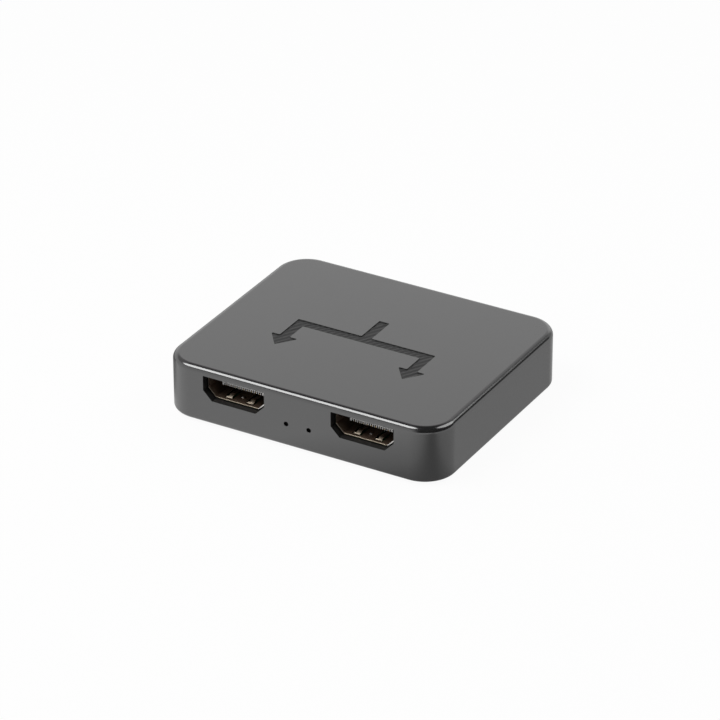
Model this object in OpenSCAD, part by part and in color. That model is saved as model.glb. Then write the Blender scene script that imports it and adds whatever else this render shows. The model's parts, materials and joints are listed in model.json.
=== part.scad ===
// One-in, two-out video signal splitter: a small two-piece plastic case round a circuit board.
// Millimetres, +Z up. The origin is on the table, under the middle of the case.
// The two outputs and their status lights face -Y, the input and the power socket face +Y.

/* [Case] */
// Width of the case, left to right
case_w = 67.5; // [64:0.5:90]
// Depth of the case, front to back
case_d = 56.2; // [52:0.2:80]
// Height of the case, without its feet
case_h = 13; // [12.2:0.1:18]
// Radius of the upright corners
corner_r = 7.2; // [5:0.1:10]
// Rounding along the top edge
top_edge_r = 1.4; // [0.4:0.1:1.8]
// Rounding along the bottom edge
bottom_edge_r = 0.9; // [0.2:0.1:0.9]
// Thickness of the side walls
wall_t = 1.8; // [1.3:0.1:2.4]
// Thickness of the top
top_t = 1.4; // [1:0.1:2]
// Thickness of the bottom cover
base_t = 1.4; // [1:0.1:1.8]
// How far the bottom cover sits up inside the rim
base_recess = 0.2; // [0:0.1:0.5]
// Thickness of the rim round the bottom cover
rim_t = 1.1; // [0.95:0.05:1.3]

/* [Direction mark on the top] */
// Depth of the sunk direction mark
mark_depth = 0.2; // [0.1:0.05:0.4]
// Width of its lines
mark_line = 2.4; // [1:0.1:4]
// Width of its arrow heads
mark_arrow_w = 6.4; // [5:0.2:9]
// Length of its arrow heads
mark_arrow_l = 4.2; // [2:0.2:6]
// Distance from the front of the case to the arrow tips
mark_front = 17; // [10:0.5:22]
// Length of the two branches, from the tips to the middle of the cross bar
mark_branch = 11; // [8:0.5:14]
// Length of the stem behind the cross bar
mark_stem = 9; // [4:0.5:14]

/* [Screws, bosses and feet] */
// Diameter of the screw shank
screw_d = 2; // [1.6:0.1:2.2]
// Diameter of the screw head
screw_head_d = 3.8; // [3:0.1:4]
// Height of the screw head
screw_head_h = 1.3; // [0.9:0.1:1.5]
// Length of screw inside the boss
screw_bite = 3.6; // [2:0.1:4.5]
// Diameter of the bosses under the top
boss_d = 5; // [4:0.1:5.4]
// Diameter of the posts on the bottom cover
post_d = 6; // [5.4:0.1:6.4]
// Diameter of the rubber feet
foot_d = 8; // [5:0.5:10]
// How far the feet stand out under the case
foot_proud = 0.6; // [0.3:0.1:2]
// How deep the feet sit in the bottom cover
foot_sunk = 0.3; // [0.1:0.1:0.6]
// Distance of the feet from the left and right of the case
foot_inset_x = 17; // [16:0.5:22]
// Distance of the feet from the front and back of the case
foot_inset_y = 8; // [7.5:0.5:14]

/* [Circuit board] */
// Thickness of the board
board_t = 1.6; // [1:0.2:2]
// Distance between the board's edge and the walls
board_gap = 0.5; // [0.3:0.1:1]

/* [Video sockets] */
// Distance between the middles of the two outputs
out_pitch = 31.2; // [24:0.1:34]
// Middle of the input, from the middle of the case
in_x = -9; // [-12:0.5:-6]
// Width of the opening inside the socket
hdmi_w = 14; // [13.8:0.05:14.2]
// Height of the opening inside the socket
hdmi_h = 4.55; // [4.4:0.05:4.7]
// Size of the two cut lower corners of the opening
hdmi_c = 1.85; // [1.6:0.05:2.2]
// Thickness of the sheet metal of the shell
hdmi_t = 0.3; // [0.2:0.05:0.4]
// Length of the shell
hdmi_len = 9.4; // [8.6:0.1:11]
// Height of the opening's floor over the board
hdmi_lift = 1.22; // [0.9:0.02:1.6]
// Free height between the shell and the top of the case
hdmi_head = 0.5; // [0.05:0.01:0.9]
// How far the shell reaches into the hole in the wall
hdmi_entry = 0.25; // [0:0.05:0.6]
// Width of the tongue that carries the contacts
tongue_w = 10.2; // [10:0.1:11.6]
// Thickness of the tongue
tongue_t = 1.2; // [1:0.05:1.3]
// Height of the tongue's underside over the opening's floor
tongue_z = 1.8; // [1.7:0.05:2.3]
// Distance from the mouth to the tip of the tongue
tongue_back = 2.4; // [1.6:0.1:3]
// Width of one contact
contact_w = 0.3; // [0.2:0.02:0.36]
// Thickness of one contact
contact_t = 0.12; // [0.08:0.01:0.16]
// Distance between contacts in one row
contact_pitch = 1; // [0.96:0.01:1.04]
// Distance of each spring tab from the middle of the socket
tab_x = 2.6; // [1.6:0.1:3]
// Width of a spring tab
tab_w = 1.6; // [1:0.1:2]

/* [Power socket] */
// Middle of the power socket, from the middle of the case
usb_x = 15; // [12:0.5:18]
// Width of its opening
usb_w = 6.9; // [6.8:0.05:7]
// Height of its opening
usb_h = 1.85; // [1.8:0.05:1.9]
// Size of its two cut lower corners
usb_c = 0.8; // [0.5:0.05:1]
// Thickness of its shell
usb_t = 0.3; // [0.2:0.05:0.35]
// Length of its shell
usb_len = 5.4; // [5:0.1:7]
// How far its mouth lies inside the back of the case
usb_recess = 0.4; // [0.2:0.1:1]

/* [Status lights] */
// Distance between the two lights
led_pitch = 5.5; // [4:0.1:10]
// Diameter of their holes in the wall
led_hole_d = 1.1; // [0.8:0.1:2]
// Height of a light's body
led_h = 0.7; // [0.5:0.05:1]

/* [Fits] */
// Clearance round the bottom cover
cover_gap = 0.1; // [0.05:0.01:0.2]
// Clearance round a socket in its hole
port_gap = 0.1; // [0.05:0.01:0.2]
// Clearance between the posts and the walls
post_gap = 0.35; // [0.2:0.05:1]
// Clearance round a screw and its head
screw_gap = 0.15; // [0.1:0.01:0.25]
// Clearance round legs in the board
leg_gap = 0.1; // [0.05:0.01:0.2]
// Clearance of the plastic inside a metal shell, and round contacts
insert_gap = 0.03; // [0.02:0.01:0.05]

/* [Hidden] */
$fn = 64;
cut = 1;       // how far a cutting shape passes the face it cuts
hair = 0.01;   // overlap that keeps a rounded cut clean

// Heights, from the table upwards
case_z = foot_proud;
case_top = case_z + case_h;
ceiling = case_top - top_t;
base_z = case_z + base_recess;
hdmi_floor = ceiling - hdmi_head - hdmi_t - hdmi_h;
board_top = hdmi_floor - hdmi_lift;
board_z = board_top - board_t;

// Plan sizes
inner_w = case_w - 2 * wall_t;
inner_d = case_d - 2 * wall_t;
board_w = inner_w - 2 * board_gap;
board_d = inner_d - 2 * board_gap;
board_corner_r = corner_r - wall_t - board_gap;
cover_w = case_w - 2 * (rim_t + cover_gap);
cover_d = case_d - 2 * (rim_t + cover_gap);
post_inset_walls = wall_t + post_gap + post_d / 2;
post_inset_corner = corner_r - (corner_r - post_inset_walls) / sqrt(2);
screw_inset = max(post_inset_walls, post_inset_corner);
screw_x = case_w / 2 - screw_inset;
screw_y = case_d / 2 - screw_inset;
foot_x = case_w / 2 - foot_inset_x;
foot_y = case_d / 2 - foot_inset_y;
out_x = out_pitch / 2;
led_x = led_pitch / 2;

// Screw heads are sunk until they are level with the bottom cover
head_seat_z = base_z + screw_head_h;
shank_r = screw_d / 2;
screw_tip_z = board_top + screw_bite;
screw_point_l = 1.2;
screw_point_r = 0.3;
cross_l = 2.1;
cross_w = 0.55;
cross_depth = 0.65;
pilot_room = 0.6;
foot_chamfer = 0.2;

// Video socket, seen from its mouth: +Y runs inwards
hdmi_recess = wall_t - hdmi_entry;
tongue_low = hdmi_floor + tongue_z;
tongue_top = tongue_low + tongue_t;
block_in_shell = 2.6;
block_behind_shell = 2;
block_front = hdmi_len - block_in_shell;
block_back = hdmi_len + block_behind_shell;
upper_contacts = 10;
lower_contacts = 9;
contact_setback = 0.15;
contact_foot = 0.8;
leg_l = 1.4;
leg_below = 0.6;
front_leg_y = 1.6;
back_leg_y = 6.6;
tab_tip = 1.3;
tab_peak_front = 1.9;
tab_peak_back = 2.4;
tab_bend = 4.6;
tab_root = 5.6;
tab_t = 0.22;
tab_window = 0.35;
low_tab_rise = 0.24;
high_tab_rise = 0.14;

// Power socket
usb_floor = board_top + usb_t;
usb_legs_y = 3.2;
usb_leg_l = 1.2;
usb_leg_top = usb_floor + usb_h - usb_t;
usb_block_l = 1.6;
usb_block_front = usb_len - usb_block_l;
usb_tongue_w = 3.7;
usb_tongue_t = 0.65;
usb_over_tongue = 0.25;
usb_tongue_low = usb_floor + usb_h - usb_tongue_t - usb_over_tongue;
usb_tongue_back = 0.8;
usb_contacts = 5;
usb_contact_pitch = 0.65;
usb_contact_w = 0.28;

// Chips: body size, lead pitch, lead width, lead length, and place on the board
chip_standoff = 0.1;
lead_t = 0.15;
lead_flat_share = 0.4;   // part of a lead's length that lies before its bend
chip_size = [10, 10, 1.4];
chip_pitch = 0.5;
chip_lead_w = 0.22;
chip_lead_l = 1;
chip_side_leads = 16;
chip_at = [0, -3];
memory_size = [4.9, 3.9, 1.5];
memory_pitch = 1.27;
memory_lead_w = 0.42;
memory_lead_l = 1;
memory_side_leads = 4;
main_reg_size = [6.5, 3.5, 1.6];
main_reg_pitch = 2.3;
main_reg_lead_w = 0.7;
main_reg_tab_w = 3;
main_reg_lead_l = 1.7;
core_reg_size = [2.9, 1.6, 1.1];
core_reg_pitch = 0.95;
core_reg_lead_w = 0.4;
core_reg_lead_l = 0.6;

// Other parts on the board: sizes and places
inductor_w = 4;
inductor_h = 2.1;
inductor_corner = 0.8;
crystal_w = 4.7;
crystal_l = 11.4;
crystal_h = 3.2;
crystal_base_h = 0.8;
crystal_edge = 0.2;
bulk_d = 5;
bulk_h = 4.4;
bulk_base_w = 5.3;
bulk_base_h = 0.7;
small_l = 1.6;
small_w = 0.8;
capacitor_h = 0.8;
resistor_h = 0.45;
surge_size = [2.5, 1.2, 0.6];
surge_slide = 2.6;
led_l = 1.6;
led_w = 0.8;
led_base_h = 0.25;
led_lens_l = 1;
led_setback = 0.2;

// Rows of small parts behind the sockets, counted from the outer face of the wall
surge_behind = 2.6;
resistor_behind = 5.4;
memory_behind = 9.6;
resistor_step = 1.4;
socket_back = hdmi_recess + block_back;
surge_row = socket_back + surge_behind;
resistor_row = socket_back + resistor_behind;
memory_row = socket_back + memory_behind;
memory_from_edge = 13.5;
memory_at = [board_w / 2 - memory_from_edge, memory_row - case_d / 2];

// Power parts along the right edge of the board, and the crystal along its left edge
main_reg_from_edge = 15.5;
main_reg_y = 10;
core_reg_y = 1;
inductor_from_edge = 8.5;
inductor_y = 2.5;
bulk_from_edge = 6.5;
bulk_y = 12;
crystal_from_edge = 12.5;
crystal_y = 1.5;
main_reg_at = [board_w / 2 - main_reg_from_edge, main_reg_y];
core_reg_at = [board_w / 2 - main_reg_from_edge, core_reg_y];
inductor_at = [board_w / 2 - inductor_from_edge, inductor_y];
bulk_at = [board_w / 2 - bulk_from_edge, bulk_y];
crystal_at = [crystal_from_edge - board_w / 2, crystal_y];
chip_capacitor_ring = 7.2;
chip_capacitor_slide = 2.4;
reg_capacitor_step = 2.2;
reg_capacitor_row = 4.4;

// Shared shapes

// Extrudes a drawing in (x, z) from y0 to y1
module along_y(y0, y1) {
    translate([0, y1, 0]) rotate([90, 0, 0]) linear_extrude(y1 - y0) children();
}

// Extrudes a drawing in (y, z) from x0 to x1
module along_x(x0, x1) {
    translate([x0, 0, 0]) rotate([90, 0, 90]) linear_extrude(x1 - x0) children();
}

// A box from its lowest to its highest corner
module box(low, high) {
    translate(low) cube(high - low);
}

// Repeats a shape at four mirrored places
module four(x, y) {
    for (sx = [-1, 1], sy = [-1, 1]) translate([sx * x, sy * y, 0]) children();
}

module rounded_rectangle(w, d, r) {
    square([w, d - 2 * r], center = true);
    square([w - 2 * r, d], center = true);
    for (sx = [-1, 1], sy = [-1, 1]) translate([sx * (w / 2 - r), sy * (d / 2 - r)]) circle(r);
}

// What a rounding of radius r takes off a square corner at the origin
module corner_waste(r) {
    translate([-r, -r]) difference() {
        square(r + hair);
        circle(r);
    }
}

// Section of the case's edge, from the axis of an upright corner outwards
module edge_section() {
    difference() {
        square([corner_r, case_h]);
        translate([corner_r, case_h]) corner_waste(top_edge_r);
        translate([corner_r, 0]) mirror([0, 1]) corner_waste(bottom_edge_r);
    }
}

// The solid outer form of the case
module case_block() {
    x = case_w / 2 - corner_r;
    y = case_d / 2 - corner_r;
    translate([0, 0, case_z]) {
        box([-x, -y, 0], [x, y, case_h]);
        for (corner = [[x, y, 0], [-x, y, 90], [-x, -y, 180], [x, -y, 270]])
            translate([corner[0], corner[1], 0]) rotate([0, 0, corner[2]])
                rotate_extrude(angle = 90) edge_section();
        for (turn = [0, 180]) rotate([0, 0, turn]) {
            translate([x, 0, 0]) along_y(-y, y) edge_section();
            translate([0, y, 0]) along_x(-x, x) edge_section();
        }
    }
}

// Outline of a socket opening: wide side up, lower corners cut, grown outwards by g
function socket_outline(w, h, c, g = 0) =
    let (side = w / 2 + g, lower_cut = c + g * (2 - sqrt(2)))
    [[-side, h + g], [-side, lower_cut - g], [lower_cut - side, -g],
     [side - lower_cut, -g], [side, lower_cut - g], [side, h + g]];

module hdmi_outline(g) {
    translate([0, hdmi_floor]) polygon(socket_outline(hdmi_w, hdmi_h, hdmi_c, g));
}

module usb_outline(g) {
    translate([0, usb_floor]) polygon(socket_outline(usb_w, usb_h, usb_c, g));
}

// Puts a socket's frame behind the front wall or the back wall
module at_front(x, recess) {
    translate([x, recess - case_d / 2, 0]) children();
}

module at_back(x, recess) {
    translate([x, case_d / 2 - recess, 0]) rotate([0, 0, 180]) children();
}

// Case

module direction_mark() {
    tip_y = mark_front - case_d / 2;
    bar_y = tip_y + mark_branch;
    translate([0, bar_y + mark_stem / 2]) square([mark_line, mark_stem], center = true);
    translate([0, bar_y]) square([out_pitch + mark_line, mark_line], center = true);
    for (side = [-1, 1]) translate([side * out_x, tip_y]) {
        polygon([[0, 0], [mark_arrow_w / 2, mark_arrow_l], [-mark_arrow_w / 2, mark_arrow_l]]);
        translate([-mark_line / 2, mark_arrow_l - hair]) square([mark_line, mark_branch - mark_arrow_l]);
    }
}

module top_cover() {
    color("#3a3a3b") difference() {
        union() {
            difference() {
                case_block();
                translate([0, 0, case_z - cut]) linear_extrude(ceiling - case_z + cut)
                    rounded_rectangle(inner_w, inner_d, corner_r - wall_t);
                translate([0, 0, case_z - cut]) linear_extrude(base_recess + base_t + cut)
                    rounded_rectangle(case_w - 2 * rim_t, case_d - 2 * rim_t, corner_r - rim_t);
            }
            four(screw_x, screw_y) translate([0, 0, board_top])
                cylinder(d = boss_d, h = ceiling - board_top + top_t / 2);
        }
        four(screw_x, screw_y) translate([0, 0, board_top - cut])
            cylinder(r = shank_r, h = screw_bite + pilot_room + cut);
        for (side = [-1, 1]) at_front(side * out_x, 0)
            along_y(-cut, wall_t + cut) hdmi_outline(hdmi_t + port_gap);
        at_back(in_x, 0) along_y(-cut, wall_t + cut) hdmi_outline(hdmi_t + port_gap);
        at_back(usb_x, 0) along_y(-cut, wall_t + cut) usb_outline(usb_t + port_gap);
        for (side = [-1, 1]) at_front(side * led_x, 0) translate([0, 0, board_top + led_h / 2])
            rotate([-90, 0, 0]) translate([0, 0, -cut]) cylinder(d = led_hole_d, h = wall_t + 2 * cut);
        translate([0, 0, case_top - mark_depth]) linear_extrude(mark_depth + cut) direction_mark();
    }
}

module bottom_cover() {
    color("#343435") difference() {
        union() {
            translate([0, 0, base_z]) linear_extrude(base_t)
                rounded_rectangle(cover_w, cover_d, corner_r - rim_t - cover_gap);
            four(screw_x, screw_y) translate([0, 0, base_z]) cylinder(d = post_d, h = board_z - base_z);
        }
        four(screw_x, screw_y) {
            translate([0, 0, base_z - cut])
                cylinder(d = screw_head_d + 2 * screw_gap, h = screw_head_h + cut);
            translate([0, 0, base_z]) cylinder(r = shank_r + screw_gap, h = board_z - base_z + cut);
        }
        four(foot_x, foot_y) translate([0, 0, base_z - cut]) cylinder(d = foot_d, h = foot_sunk + cut);
    }
}

module case_screw() {
    difference() {
        union() {
            translate([0, 0, base_z]) cylinder(d = screw_head_d, h = screw_head_h);
            translate([0, 0, head_seat_z - hair])
                cylinder(r = shank_r, h = screw_tip_z - screw_point_l - head_seat_z + hair);
            translate([0, 0, screw_tip_z - screw_point_l])
                cylinder(r1 = shank_r, r2 = screw_point_r, h = screw_point_l);
        }
        for (turn = [0, 90]) translate([0, 0, base_z]) rotate([0, 0, turn])
            cube([cross_l, cross_w, 2 * cross_depth], center = true);
    }
}

module case_screws() {
    color("#9a9a98") four(screw_x, screw_y) case_screw();
}

module rubber_feet() {
    color("#1c1c1c") four(foot_x, foot_y) {
        cylinder(d1 = foot_d - 2 * foot_chamfer, d2 = foot_d, h = foot_chamfer);
        translate([0, 0, foot_chamfer]) cylinder(d = foot_d, h = base_z + foot_sunk - foot_chamfer);
    }
}

// Circuit board

module hdmi_leg_slots() {
    for (side = [-1, 1], y = [front_leg_y, back_leg_y])
        translate([side * (hdmi_w + hdmi_t) / 2, y + leg_l / 2])
            square([hdmi_t + 2 * leg_gap, leg_l + 2 * leg_gap], center = true);
}

module usb_leg_slots() {
    for (side = [-1, 1]) translate([side * (usb_w + usb_t) / 2, usb_legs_y + usb_leg_l / 2])
        square([usb_t + 2 * leg_gap, usb_leg_l + 2 * leg_gap], center = true);
}

module main_board() {
    color("#1d4a2c") translate([0, 0, board_z]) linear_extrude(board_t) difference() {
        rounded_rectangle(board_w, board_d, board_corner_r);
        four(screw_x, screw_y) circle(r = shank_r + screw_gap);
        for (side = [-1, 1]) at_front(side * out_x, hdmi_recess) hdmi_leg_slots();
        at_back(in_x, hdmi_recess) hdmi_leg_slots();
        at_back(usb_x, usb_recess) usb_leg_slots();
    }
}

// Video sockets

// Side view of a spring tab that rises by rise from the floor at height 0
module tab_section(rise) {
    polygon([
        [tab_root, -hdmi_t], [tab_root, 0], [tab_peak_back, rise], [tab_peak_front, rise], [tab_tip, 0],
        [tab_tip, -tab_t], [tab_peak_front, rise - tab_t], [tab_peak_back, rise - tab_t],
        [tab_bend, -hdmi_t]
    ]);
}

module tab_windows() {
    for (side = [-1, 1]) translate([side * tab_x, 0, 0])
        box([-tab_w / 2 - tab_window, tab_tip - tab_window, -hdmi_t - cut],
            [tab_w / 2 + tab_window, tab_root, hdmi_t]);
}

module tabs(rise) {
    for (side = [-1, 1]) translate([side * tab_x, 0, 0])
        along_x(-tab_w / 2, tab_w / 2) tab_section(rise);
}

// Puts the tab shapes on the floor or, upside down, on the roof of a video socket
module on_floor() {
    translate([0, 0, hdmi_floor]) children();
}

module on_roof() {
    translate([0, 0, hdmi_floor + hdmi_h]) mirror([0, 0, 1]) children();
}

module hdmi_shell() {
    color("#c9b68f") {
        difference() {
            union() {
                along_y(0, hdmi_len) hdmi_outline(hdmi_t);
                for (side = [0, 1], y = [front_leg_y, back_leg_y]) mirror([side, 0, 0])
                    box([hdmi_w / 2, y, board_z - leg_below],
                        [hdmi_w / 2 + hdmi_t, y + leg_l, hdmi_floor + hdmi_h / 2]);
            }
            along_y(-cut, hdmi_len + cut) hdmi_outline(0);
            on_floor() tab_windows();
            on_roof() tab_windows();
        }
        on_floor() tabs(low_tab_rise);
        on_roof() tabs(high_tab_rise);
    }
}

// Where the contacts of each row lie, from left to right
function row_x(count) = [for (i = [0 : count - 1]) (i - (count - 1) / 2) * contact_pitch];

module hdmi_insulator() {
    groove = contact_w / 2 + insert_gap;
    color("#6d6d6c") difference() {
        union() {
            along_y(block_front, hdmi_len + hair) hdmi_outline(-insert_gap);
            box([-hdmi_w / 2, hdmi_len + insert_gap, board_top],
                [hdmi_w / 2, block_back, hdmi_floor + hdmi_h]);
            box([-hdmi_w / 2 + hdmi_c, hdmi_len - hair, hdmi_floor + insert_gap],
                [hdmi_w / 2 - hdmi_c, hdmi_len + 2 * insert_gap, hdmi_floor + hdmi_h - insert_gap]);
            box([-tongue_w / 2, tongue_back, tongue_low], [tongue_w / 2, block_front + hair, tongue_top]);
        }
        for (x = row_x(upper_contacts))
            box([x - groove, tongue_back - cut, tongue_top - contact_t - insert_gap],
                [x + groove, block_back + cut, tongue_top + insert_gap]);
        for (x = row_x(lower_contacts))
            box([x - groove, tongue_back - cut, tongue_low - insert_gap],
                [x + groove, block_back + cut, tongue_low + contact_t + insert_gap]);
    }
}

// One bent strip: along the tongue at height z, down behind the block, and out along the board
module contact_strip(x, front, back, z, w, foot) {
    behind = back + insert_gap;
    along_x(x - w / 2, x + w / 2) polygon([
        [front, z], [front, z + contact_t], [behind + contact_t, z + contact_t],
        [behind + contact_t, board_top + contact_t], [behind + foot, board_top + contact_t],
        [behind + foot, board_top], [behind, board_top], [behind, z]
    ]);
}

module hdmi_contacts() {
    front = tongue_back + contact_setback;
    color("#d8b45a") {
        for (x = row_x(upper_contacts))
            contact_strip(x, front, block_back, tongue_top - contact_t, contact_w, contact_foot);
        for (x = row_x(lower_contacts))
            contact_strip(x, front, block_back, tongue_low, contact_w, contact_foot);
    }
}

// Power socket

module usb_power_shell() {
    color("#b9babb") at_back(usb_x, usb_recess) difference() {
        union() {
            along_y(0, usb_len) usb_outline(usb_t);
            for (side = [0, 1]) mirror([side, 0, 0])
                box([usb_w / 2, usb_legs_y, board_z - leg_below],
                    [usb_w / 2 + usb_t, usb_legs_y + usb_leg_l, usb_leg_top]);
        }
        along_y(-cut, usb_len + cut) usb_outline(0);
    }
}

function usb_row() =
    [for (i = [0 : usb_contacts - 1]) (i - (usb_contacts - 1) / 2) * usb_contact_pitch];

module usb_power_insulator() {
    groove = usb_contact_w / 2 + insert_gap;
    color("#2a2a2a") at_back(usb_x, usb_recess) difference() {
        union() {
            along_y(usb_block_front, usb_len) usb_outline(-insert_gap);
            box([-usb_tongue_w / 2, usb_tongue_back, usb_tongue_low],
                [usb_tongue_w / 2, usb_block_front + hair, usb_tongue_low + usb_tongue_t]);
        }
        for (x = usb_row())
            box([x - groove, usb_tongue_back + contact_setback - insert_gap, usb_tongue_low - insert_gap],
                [x + groove, usb_len + cut, usb_tongue_low + contact_t + insert_gap]);
    }
}

module usb_power_contacts() {
    color("#d8b45a") at_back(usb_x, usb_recess) for (x = usb_row())
        contact_strip(x, usb_tongue_back + contact_setback, usb_len, usb_tongue_low,
                      usb_contact_w, contact_foot);
}

// Chips

// Places a part on the board's upper face
module on_board(place) {
    translate([place[0], place[1], board_top]) children();
}

// A chip's body, with a round dimple at its first lead
module chip_body(size) {
    dimple_r = size[1] / 12;
    corner = -[size[0], size[1]] / 2;
    difference() {
        translate([corner[0], corner[1], chip_standoff]) cube(size);
        translate([corner[0] + 3 * dimple_r, corner[1] + 3 * dimple_r, chip_standoff + size[2] - lead_t])
            cylinder(r = dimple_r, h = size[2]);
    }
}

// Bent leads along the +Y side of a chip
module lead_row(count, pitch, size, w, lead_l) {
    mid = chip_standoff + size[2] / 2;
    bend = lead_l * lead_flat_share;
    for (i = [0 : count - 1]) {
        x = (i - (count - 1) / 2) * pitch;
        translate([0, size[1] / 2, 0]) along_x(x - w / 2, x + w / 2) polygon([
            [0, mid], [0, mid + lead_t], [bend + lead_t, mid + lead_t],
            [bend + lead_t, lead_t], [lead_l, lead_t], [lead_l, 0], [bend, 0], [bend, mid]
        ]);
    }
}

module splitter_chip() {
    color("#202122") on_board(chip_at) chip_body(chip_size);
}

module splitter_chip_leads() {
    color("#b5b5b2") on_board(chip_at) for (turn = [0 : 90 : 270]) rotate([0, 0, turn])
        lead_row(chip_side_leads, chip_pitch, chip_size, chip_lead_w, chip_lead_l);
}

module memory_chip() {
    color("#202122") on_board(memory_at) chip_body(memory_size);
}

module memory_chip_leads() {
    color("#b5b5b2") on_board(memory_at) for (turn = [0, 180]) rotate([0, 0, turn])
        lead_row(memory_side_leads, memory_pitch, memory_size, memory_lead_w, memory_lead_l);
}

module main_regulator() {
    color("#202122") on_board(main_reg_at) chip_body(main_reg_size);
}

// One wide tab at the back, three leads at the front
module main_regulator_leads() {
    color("#b5b5b2") on_board(main_reg_at) {
        lead_row(1, main_reg_pitch, main_reg_size, main_reg_tab_w, main_reg_lead_l);
        rotate([0, 0, 180]) lead_row(3, main_reg_pitch, main_reg_size, main_reg_lead_w, main_reg_lead_l);
    }
}

module core_regulator() {
    color("#202122") on_board(core_reg_at) chip_body(core_reg_size);
}

// Two leads at the back, three at the front
module core_regulator_leads() {
    color("#b5b5b2") on_board(core_reg_at) {
        lead_row(2, 2 * core_reg_pitch, core_reg_size, core_reg_lead_w, core_reg_lead_l);
        rotate([0, 0, 180]) lead_row(3, core_reg_pitch, core_reg_size, core_reg_lead_w, core_reg_lead_l);
    }
}

// Other parts on the board

module power_inductor() {
    half = inductor_w / 2;
    flat = half - inductor_corner;
    color("#4b4a48") on_board(inductor_at) linear_extrude(inductor_h) polygon([
        [half, -flat], [half, flat], [flat, half], [-flat, half],
        [-half, flat], [-half, -flat], [-flat, -half], [flat, -half]
    ]);
}

module crystal_can() {
    can_r = crystal_w / 2 - crystal_edge;
    color("#c3c3c0") on_board(crystal_at) translate([0, 0, crystal_base_h]) linear_extrude(crystal_h) {
        square([2 * can_r, crystal_l - crystal_w], center = true);
        for (end = [-1, 1]) translate([0, end * (crystal_l - crystal_w) / 2]) circle(can_r);
    }
}

module crystal_base() {
    color("#262626") on_board(crystal_at) linear_extrude(crystal_base_h)
        square([crystal_w, crystal_l], center = true);
}

module bulk_capacitor_can() {
    color("#bdbebf") on_board(bulk_at) translate([0, 0, bulk_base_h]) cylinder(d = bulk_d, h = bulk_h);
}

module bulk_capacitor_base() {
    color("#202020") on_board(bulk_at) linear_extrude(bulk_base_h)
        square(bulk_base_w, center = true);
}

module small_part(place, h, turn = 0) {
    on_board(place) rotate([0, 0, turn]) translate([-small_l / 2, -small_w / 2, 0])
        cube([small_l, small_w, h]);
}

// Two smoothing capacitors beside each side of the chip, and three in front of the regulator
module ceramic_capacitors() {
    color("#b79a6c") {
        for (turn = [0 : 90 : 270], side = [-1, 1]) {
            out = [cos(turn), sin(turn)] * chip_capacitor_ring;
            along = [-sin(turn), cos(turn)] * side * chip_capacitor_slide;
            small_part(chip_at + out + along, capacitor_h, turn + 90);
        }
        for (i = [-1 : 1])
            small_part(main_reg_at + [i * reg_capacitor_step, -reg_capacitor_row], capacitor_h, 90);
    }
}

// A row of series resistors behind each output
module resistors() {
    color("#262729") for (side = [-1, 1], i = [-2 : 2])
        small_part([side * out_x + i * resistor_step, resistor_row - case_d / 2], resistor_h, 90);
}

// Two surge protectors behind each video socket
module surge_protectors() {
    row_y = case_d / 2 - surge_row;
    places = [for (slide = [-surge_slide, surge_slide]) each [
        [slide - out_x, -row_y], [slide + out_x, -row_y], [slide + in_x, row_y]
    ]];
    color("#202122") for (place = places) on_board(place)
        translate([-surge_size[0] / 2, -surge_size[1] / 2, 0]) cube(surge_size);
}

// A light at the front edge of the board, straight behind its hole
module status_led(x) {
    color("#dfe6dc") translate([x, led_setback - board_d / 2, board_top]) {
        box([-led_l / 2, 0, 0], [led_l / 2, led_w, led_base_h]);
        box([-led_lens_l / 2, 0, led_base_h - hair], [led_lens_l / 2, led_w, led_h]);
    }
}

top_cover();
bottom_cover();
case_screws();
rubber_feet();
main_board();
at_front(-out_x, hdmi_recess) hdmi_shell();  // hdmi_out_1_shell
at_front(-out_x, hdmi_recess) hdmi_insulator();  // hdmi_out_1_insulator
at_front(-out_x, hdmi_recess) hdmi_contacts();  // hdmi_out_1_contacts
at_front(out_x, hdmi_recess) hdmi_shell();  // hdmi_out_2_shell
at_front(out_x, hdmi_recess) hdmi_insulator();  // hdmi_out_2_insulator
at_front(out_x, hdmi_recess) hdmi_contacts();  // hdmi_out_2_contacts
at_back(in_x, hdmi_recess) hdmi_shell();  // hdmi_in_shell
at_back(in_x, hdmi_recess) hdmi_insulator();  // hdmi_in_insulator
at_back(in_x, hdmi_recess) hdmi_contacts();  // hdmi_in_contacts
usb_power_shell();
usb_power_insulator();
usb_power_contacts();
splitter_chip();
splitter_chip_leads();
memory_chip();
memory_chip_leads();
main_regulator();
main_regulator_leads();
core_regulator();
core_regulator_leads();
power_inductor();
crystal_can();
crystal_base();
bulk_capacitor_can();
bulk_capacitor_base();
ceramic_capacitors();
resistors();
surge_protectors();
status_led(-led_x);  // status_led_1
status_led(led_x);  // status_led_2
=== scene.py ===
# One-in, two-out video signal splitter: the finish and the fine shapes of its pieces.
# Sizes are in millimetres and become metres where a mesh is made. +Z is up, the outputs face -Y.
import json
import math

import bmesh
import bpy
from mathutils import Matrix, Vector


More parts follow.
